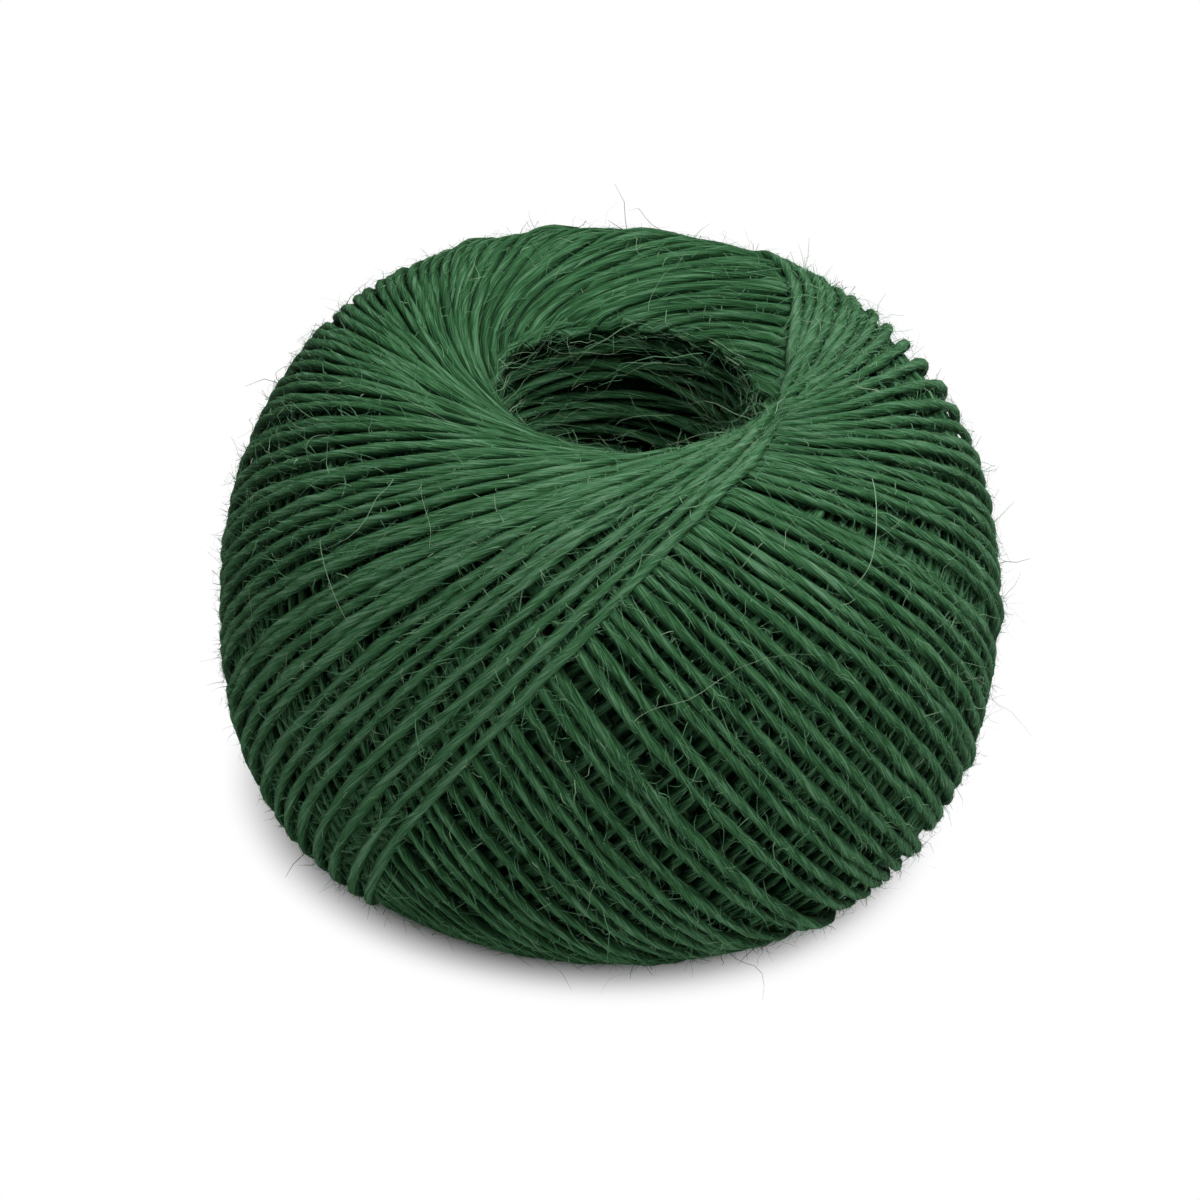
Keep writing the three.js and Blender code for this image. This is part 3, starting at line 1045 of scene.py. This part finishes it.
def twine_material():
    material, shader, n = new_material("dyed_twine", 0.85)
    grain_and_shade, patch = n.group(STREAKS_AND_SHADE), n.group(PATCHES)["Patch"]
    tone = n.added(n.times(grain_and_shade["Slub"], 0.22), n.times(patch, 0.08))
    tone = n.added(tone, n.times(n.tone(), 0.25))
    # Painted shade on the flanks of each strand, and a small even darkening of the whole twine.
    shade = n.added(n.times(grain_and_shade["PaintedFlankShade"], 0.42), 0.08)
    level = n.math("SUBTRACT", n.added(grain_and_shade["Streaks"], tone), shade)
    dark_half = n.mix(n.ranged(level, 0.0, 0.5), SHADE, DYED)
    n.feed(shader["Base Color"], n.mix(n.ranged(level, 0.5, 1.1), dark_half, PALE))
    n.feed_all(shader, Sheen_Weight=0.08, Sheen_Roughness=0.5, Sheen_Tint=(0.35, 0.8, 0.42, 1))
    n.feed(shader["Normal"], n.bump(grain_and_shade["Streaks"], 0.22 * MM))
    return material


def fuzz_material():
    material, shader, n = new_material("loose_fibre", 0.8)
    level = n.added(n.tone(), n.times(n.group(PATCHES)["Patch"], 0.15))
    green = n.mix(n.ranged(level, 0.0, 1.0), FUZZ_DARK, FUZZ_LIGHT)
    n.feed(shader["Base Color"], n.mix(n.ranged(level, 1.0, 1.6), green, FUZZ_PALE))
    return material


# Painted shade: the body skin is coloured nearly black, for the shaded twine deeper in the ball.
def body_material():
    material, shader, n = new_material("shaded_fibre", 1.0)
    grain_and_shade = n.noise(n.object_place(), 2500.0, 3.0, 0.7)
    n.feed(shader["Base Color"], n.mix(n.ranged(grain_and_shade, 0.35, 0.65), DEEP_PAINTED_SHADE, SHADE))
    n.feed(shader["Normal"], n.bump(grain_and_shade, 0.5 * MM))
    return material


twine_look, fuzz_look = twine_material(), fuzz_material()
for piece in turns + [wall]:
    piece.data.materials.append(twine_look)
for piece in cling + fuzz + [strays, hole_hair, long_hairs]:
    piece.data.materials.append(fuzz_look)
body.data.materials.append(body_material())
print("materials:", [material.name for material in bpy.data.materials])

# %% [markdown]
# ## Camera and light
#
# One soft lamp hangs nearly overhead, a little to the right and towards the front, and an even
# white world fills the shade. The camera looks down on the ball with a long lens from some
# distance, which keeps the ball round.

# %% Camera and light
scene = bpy.context.scene
scene.view_settings.view_transform = "Standard"
ball_middle = Vector((0, 0, MIDDLE_HEIGHT))


def set_camera(distance, elevation, roll, lens, shift):
    data = bpy.data.cameras.new("camera")
    data.lens, data.sensor_width = lens, 36
    data.shift_x, data.shift_y = shift
    data.clip_start, data.clip_end = 0.01, 20
    camera = placed("camera", data)
    back = Vector((0, -math.cos(elevation), math.sin(elevation)))
    camera.location = ball_middle + distance * back
    camera.rotation_euler = back.to_track_quat("Z", "Y").to_euler()
    camera.rotation_euler.rotate_axis("Z", roll)
    scene.camera = camera


def area_light(name, place, size, power):
    data = bpy.data.lights.new(name, "AREA")
    data.shape, data.size, data.size_y = "RECTANGLE", size, size
    data.energy = power
    light = placed(name, data)
    light.location = place
    light.rotation_euler = (Vector(place) - ball_middle).to_track_quat("Z", "Y").to_euler()


def white_world(light_strength):
    """White to the camera, and a gentle even light on the ball."""
    world = bpy.data.worlds.new("studio")
    scene.world = world
    world.use_nodes = True
    n = Nodes(world.node_tree)
    background = world.node_tree.nodes["Background"].inputs
    seen = n.node("ShaderNodeLightPath").outputs["Is Camera Ray"]
    strength = n.ranged(seen, 0.0, 1.0, light_strength, 1.0)
    n.feed_all(background, Color=(1, 1, 1, 1), Strength=strength)


set_camera(distance=0.5493, elevation=math.radians(32.9), roll=math.radians(4.65),
           lens=141.9, shift=(-0.0083, -0.0081))
area_light("top_softbox", place=(0.15, -0.06, 0.62), size=0.5, power=4.4)
white_world(light_strength=0.13)
print("camera at, mm:", [round(value / MM) for value in scene.camera.location])

# %% [markdown]
# ## The floor
#
# The ball stands on white paper. Brighter lamps could whiten the paper, but they would wash out the
# shadow, so the paper glows only for the camera and only away from the ball. The ground is then
# pure white while the contact shadow stays.

# %% The floor
GLOW_MIDDLE = (-1.2 * MM, 0, 0)
GLOW_FROM, GLOW_FULL = 33.5 * MM, 43.5 * MM  # the glow grows between these distances
PAPER_WHITE = 0.85


def white_floor(size=3.0):
    half = size / 2
    corners = [(-half, -half, 0), (half, -half, 0), (half, half, 0), (-half, half, 0)]
    mesh = bpy.data.meshes.new("floor")
    mesh.from_pydata(corners, [], [(0, 1, 2, 3)])
    floor = placed("floor", mesh)
    material, paper, n = new_material("floor_paper", 1.0, gloss=0.0)
    distance = n.node("ShaderNodeVectorMath", operation="DISTANCE")
    n.fed(distance, n.object_place(), GLOW_MIDDLE)
    fade = n.ranged(distance.outputs["Value"], GLOW_FROM, GLOW_FULL, kind="SMOOTHSTEP")
    glow = n.times(fade, n.node("ShaderNodeLightPath").outputs["Is Camera Ray"])
    tint = n.ranged(glow, 0.0, 1.0, PAPER_WHITE, 0.0)
    n.feed_all(paper, Emission_Color=(1, 1, 1, 1), Emission_Strength=glow, Base_Color=tint)
    mesh.materials.append(material)


white_floor()
